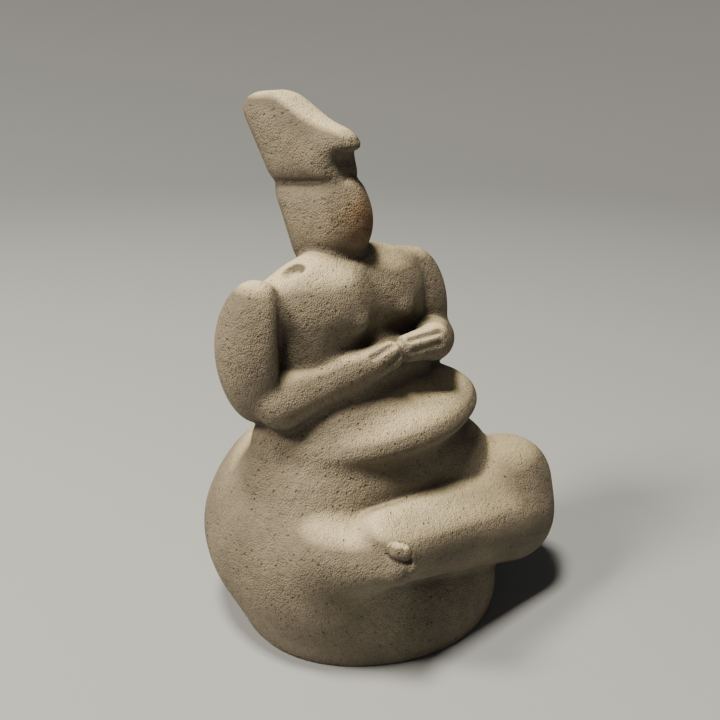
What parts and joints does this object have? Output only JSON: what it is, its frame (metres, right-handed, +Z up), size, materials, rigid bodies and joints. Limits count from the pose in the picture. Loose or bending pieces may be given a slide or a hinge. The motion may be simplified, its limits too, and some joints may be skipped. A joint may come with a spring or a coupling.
{
  "type": "seated figurine",
  "caption": "Small carved stone figurine of a heavy seated figure with folded arms and crossed legs, on its flat underside.",
  "frame": {"origin": "middle of the seat's base on the flat underside", "axes": "+Z up, the figure faces -Y, its left side is +X"},
  "size_m": [0.0969, 0.0878, 0.1441],
  "materials": {
    "stone": "matt, grainy, weathered buff stone"
  },
  "bodies": {
    "root": {"figurine": "stone"}
  },
  "joints": []
}
